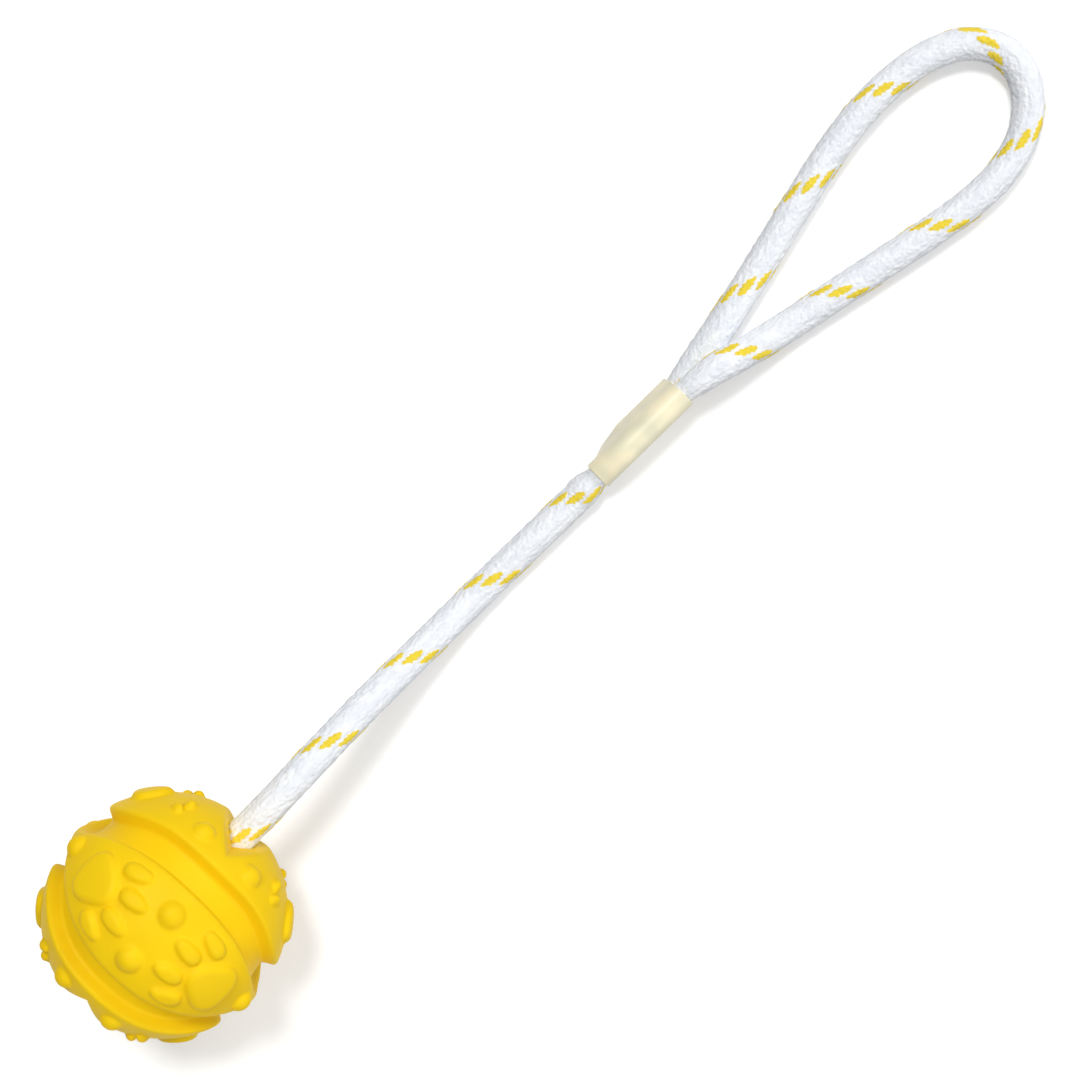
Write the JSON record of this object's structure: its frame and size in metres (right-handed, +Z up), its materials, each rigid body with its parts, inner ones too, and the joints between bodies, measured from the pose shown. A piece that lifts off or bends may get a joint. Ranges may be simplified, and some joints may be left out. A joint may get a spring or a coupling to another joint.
{
  "type": "ball on rope dog toy",
  "caption": "Solid rubber ball with moulded paw prints, studs and wavy grooves, free to turn on a braided rope with a hand loop, for throwing and tugging.",
  "frame": {"origin": "on the floor, under the middle of the ball's box", "axes": "+X along the rope, from the ball to the hand loop; +Z up from the floor that the toy lies on; +Y to the side that makes the frame right-handed"},
  "size_m": [0.3732, 0.0668, 0.0685],
  "materials": {
    "ball_rubber": "satin moulded natural rubber",
    "rope_braid": "white braided polyester with a yellow tracer",
    "sleeve_film": "satin heat-shrunk film"
  },
  "bodies": {
    "rope": {"rope_knot": "rope_braid", "rope_in_ball": "rope_braid", "rope_lead": "rope_braid", "rope_in_sleeve": "rope_braid", "rope_loop": "rope_braid", "rope_tail": "rope_braid", "joint_sleeve": "sleeve_film"},
    "ball": {"ball": "ball_rubber"}
  },
  "joints": [
    {"name": "ball_spin", "type": "hinge", "parent": "rope", "child": "ball", "pos_m": [0, 0, 0.03413], "axis": [1, 0, 0], "continuous": true}
  ]
}
